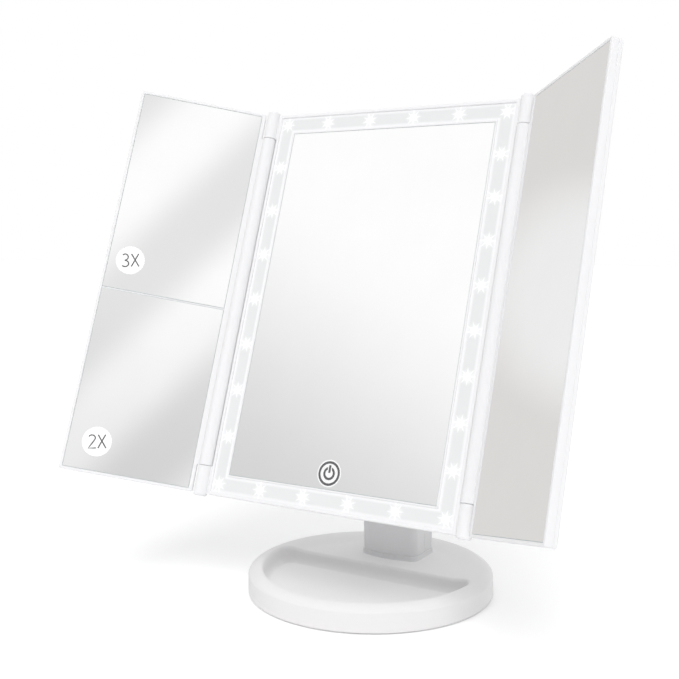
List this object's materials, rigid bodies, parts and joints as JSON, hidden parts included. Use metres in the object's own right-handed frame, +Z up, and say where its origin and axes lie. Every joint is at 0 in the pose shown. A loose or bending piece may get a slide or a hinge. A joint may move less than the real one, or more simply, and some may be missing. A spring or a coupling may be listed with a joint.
{
  "type": "lighted vanity mirror",
  "caption": "Tri-fold lighted vanity mirror: a tilting head with a lit centre glass and two folding mirror doors, on a cranked neck and a round tray base.",
  "frame": {"origin": "middle of the rubber foot under the centre of the round base, on the surface it stands on", "axes": "+Z up; the mirror faces -Y; +X is to the right for someone looking into the mirror"},
  "size_m": [0.3081, 0.181, 0.304],
  "materials": {
    "white_abs": "moulded gloss",
    "neck_abs": "moulded gloss",
    "cover_abs": "fine matt",
    "trough_white": "moulded gloss",
    "frosted_acrylic": "frosted",
    "silvered_glass": "polished",
    "label_film": "satin film",
    "key_ink": "printed",
    "led_phosphor": "satin",
    "led_board": "solder mask",
    "green_board": "solder mask",
    "chip_black": "matt",
    "copper_pad": "plated",
    "steel": "zinc plated",
    "ballast_steel": "mill finish",
    "cell_jacket": "printed film",
    "washer_nylon": "satin",
    "wire_jacket": "satin",
    "black_rubber": "matt"
  },
  "bodies": {
    "base": {"base_tray": "white_abs", "base_bottom_cover": "cover_abs", "ballast_plate": "ballast_steel", "rubber_feet": "black_rubber", "base_screws": "steel", "neck_collar": "neck_abs", "neck_front_cover": "neck_abs", "neck_rear_cover": "neck_abs", "neck_bracket": "steel", "bracket_screws": "steel"},
    "head": {"front_frame": "white_abs", "light_window": "frosted_acrylic", "light_trough": "trough_white", "led_boards": "led_board", "led_chips": "led_phosphor", "mirror_tray": "white_abs", "main_mirror": "silvered_glass", "touch_key_mark": "key_ink", "touch_electrode": "copper_pad", "control_board": "green_board", "board_components": "chip_black", "usb_inlet": "steel", "power_wires": "wire_jacket", "rear_housing": "white_abs", "housing_screws": "steel", "tilt_axle": "steel", "axle_nut": "steel", "friction_washers": "washer_nylon", "lug_caps": "white_abs", "battery_cells": "cell_jacket", "battery_springs": "steel", "battery_plates": "steel", "left_hinge_pins": "steel", "right_hinge_pins": "steel"},
    "battery_cover": {"battery_cover": "white_abs"},
    "left_door": {"left_door_frame": "white_abs", "left_door_back": "white_abs", "left_upper_mirror": "silvered_glass", "left_lower_mirror": "silvered_glass", "left_labels": "label_film"},
    "right_door": {"right_door_frame": "white_abs", "right_door_back": "white_abs", "right_mirror": "silvered_glass"}
  },
  "joints": [
    {"name": "head_tilt", "type": "hinge", "parent": "base", "child": "head", "pos_m": [0, -0.0125, 0.1055], "axis": [-1, 0, 0], "range_deg": [-34, 65]},
    {"name": "left_door_hinge", "type": "hinge", "parent": "head", "child": "left_door", "pos_m": [-0.0847, -0.01466, 0.17195], "axis": [0, 0.3305, 0.9438], "range_deg": [-34.4, 145.6]},
    {"name": "right_door_hinge", "type": "hinge", "parent": "head", "child": "right_door", "pos_m": [0.0847, -0.01466, 0.17195], "axis": [0, -0.3305, -0.9438], "range_deg": [-43.3, 136.7]},
    {"name": "battery_cover_slide", "type": "slide", "parent": "head", "child": "battery_cover", "axis": [0, 0.3305, 0.9438], "range_m": [0, 0.058]}
  ]
}
